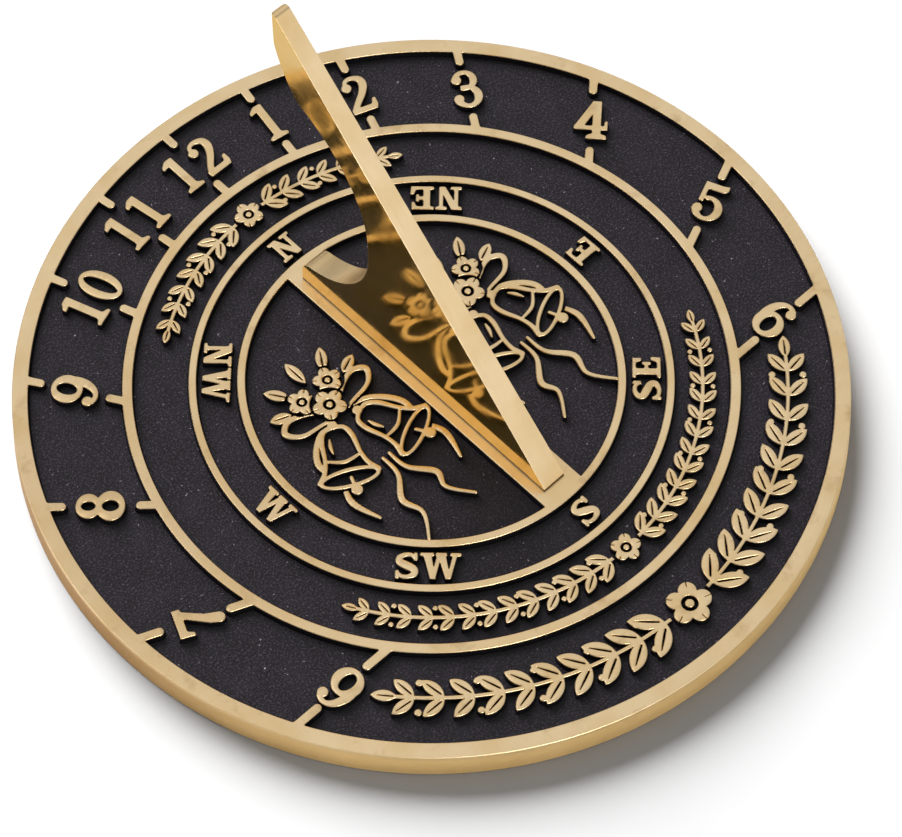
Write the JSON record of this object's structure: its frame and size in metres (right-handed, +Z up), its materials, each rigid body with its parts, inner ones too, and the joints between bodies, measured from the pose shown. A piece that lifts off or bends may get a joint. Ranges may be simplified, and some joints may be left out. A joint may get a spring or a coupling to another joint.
{
  "type": "horizontal sundial",
  "caption": "Round brass garden sundial with raised rings, hour marks and compass bands over black enamel, and a tapered gnomon with a hollow back",
  "frame": {"origin": "centre of the dial's flat underside", "axes": "+Z up out of the dial, +Y north towards noon and the gnomon's high end, +X east"},
  "size_m": [0.196, 0.196, 0.1025],
  "materials": {
    "cast_brass": "cast, with its raised faces and rim linished to a pale satin gold",
    "polished_brass": "satin upper face and mirror-polished sides",
    "screw_brass": "turned, slightly dull",
    "black_enamel": "satin black over a fine sand-cast grain"
  },
  "bodies": {
    "root": {"dial_plate": "cast_brass", "gnomon": "polished_brass", "gnomon_screws": "screw_brass", "enamel_hour_band": "black_enamel", "enamel_leaf_band": "black_enamel", "enamel_compass_band": "black_enamel", "enamel_west_field": "black_enamel", "enamel_east_field": "black_enamel"}
  },
  "joints": []
}
